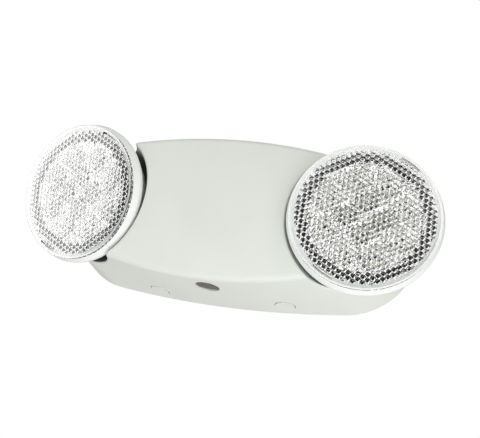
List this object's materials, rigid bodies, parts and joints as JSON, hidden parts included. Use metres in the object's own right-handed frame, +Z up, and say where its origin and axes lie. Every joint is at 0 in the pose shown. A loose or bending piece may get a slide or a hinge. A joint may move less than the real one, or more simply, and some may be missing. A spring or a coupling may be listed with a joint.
{
  "type": "emergency light",
  "caption": "Wall-mounted emergency light: oval vaulted housing with an adjustable ball-shaped lamp head in a scooped socket at each end, test button and release tabs underneath.",
  "frame": {"origin": "on the wall, at the middle of the housing's back", "axes": "+X right seen from the front, +Z up, -Y out of the wall towards the room"},
  "size_m": [0.3144, 0.0822, 0.1114],
  "materials": {
    "white_housing": "fine satin texture",
    "white_base": "satin",
    "clear_lens": "clear with small prisms",
    "bright_reflector": "metallised, glossy",
    "led_board": "dark solder resist",
    "phosphor": "yellow phosphor",
    "screw_steel": "zinc plated",
    "plated_steel": "zinc plated",
    "saddle_plastic": "moulded, satin",
    "battery_wrap": "shrink wrap",
    "strap_steel": "zinc plated",
    "circuit_board": "green solder resist",
    "board_parts": "moulded",
    "terminal_block": "moulded",
    "lamination": "varnished steel",
    "winding": "yellow tape",
    "lead_red": "insulated",
    "switch_black": "moulded",
    "indicator": "tinted, clear",
    "smoked_button": "smoked, clear",
    "spring_steel": "bright",
    "boot_rubber": "soft silicone"
  },
  "bodies": {
    "housing": {"front_cover": "white_housing", "back_plate": "white_base", "battery_pack": "battery_wrap", "battery_strap": "strap_steel", "strap_screws": "screw_steel", "circuit_board": "circuit_board", "board_parts": "board_parts", "terminal_block": "terminal_block", "terminal_screws": "screw_steel", "transformer_core": "lamination", "transformer_winding": "winding", "battery_leads": "lead_red", "test_switch": "switch_black", "indicator_led": "indicator", "button_spring": "boot_rubber", "left_stem": "plated_steel", "left_spring_washer": "spring_steel", "left_inner_nut": "plated_steel", "left_outer_nut": "plated_steel", "right_stem": "plated_steel", "right_spring_washer": "spring_steel", "right_inner_nut": "plated_steel", "right_outer_nut": "plated_steel"},
    "test_button": {"test_button": "smoked_button"},
    "left_swivel": {"left_saddle": "saddle_plastic"},
    "left_lamp": {"left_head": "white_housing", "left_lens": "clear_lens", "left_reflector": "bright_reflector", "left_led_board": "led_board", "left_leds": "phosphor", "left_board_screws": "screw_steel"},
    "right_swivel": {"right_saddle": "saddle_plastic"},
    "right_lamp": {"right_head": "white_housing", "right_lens": "clear_lens", "right_reflector": "bright_reflector", "right_led_board": "led_board", "right_leds": "phosphor", "right_board_screws": "screw_steel"}
  },
  "joints": [
    {"name": "left_turn", "type": "hinge", "parent": "housing", "child": "left_swivel", "pos_m": [-0.1074, -0.0667, 0], "axis": [0, -1, 0], "range_deg": [-170, 170]},
    {"name": "left_tilt", "type": "hinge", "parent": "left_swivel", "child": "left_lamp", "pos_m": [-0.1074, -0.0667, 0], "axis": [0.7389, 0, -0.6738], "range_deg": [-15.79, 12.21]},
    {"name": "right_turn", "type": "hinge", "parent": "housing", "child": "right_swivel", "pos_m": [0.1074, -0.0667, 0], "axis": [0, -1, 0], "range_deg": [-170, 170]},
    {"name": "right_tilt", "type": "hinge", "parent": "right_swivel", "child": "right_lamp", "pos_m": [0.1074, -0.0667, 0], "axis": [-0.0223, 0, 0.9998], "range_deg": [-12.12, 15.88]},
    {"name": "button_press", "type": "slide", "parent": "housing", "child": "test_button", "axis": [0, 0, 1], "range_m": [0, 0.0015], "stiffness_N_per_m": 300, "springref_m": -0.001, "deforming": ["button_spring"]}
  ]
}
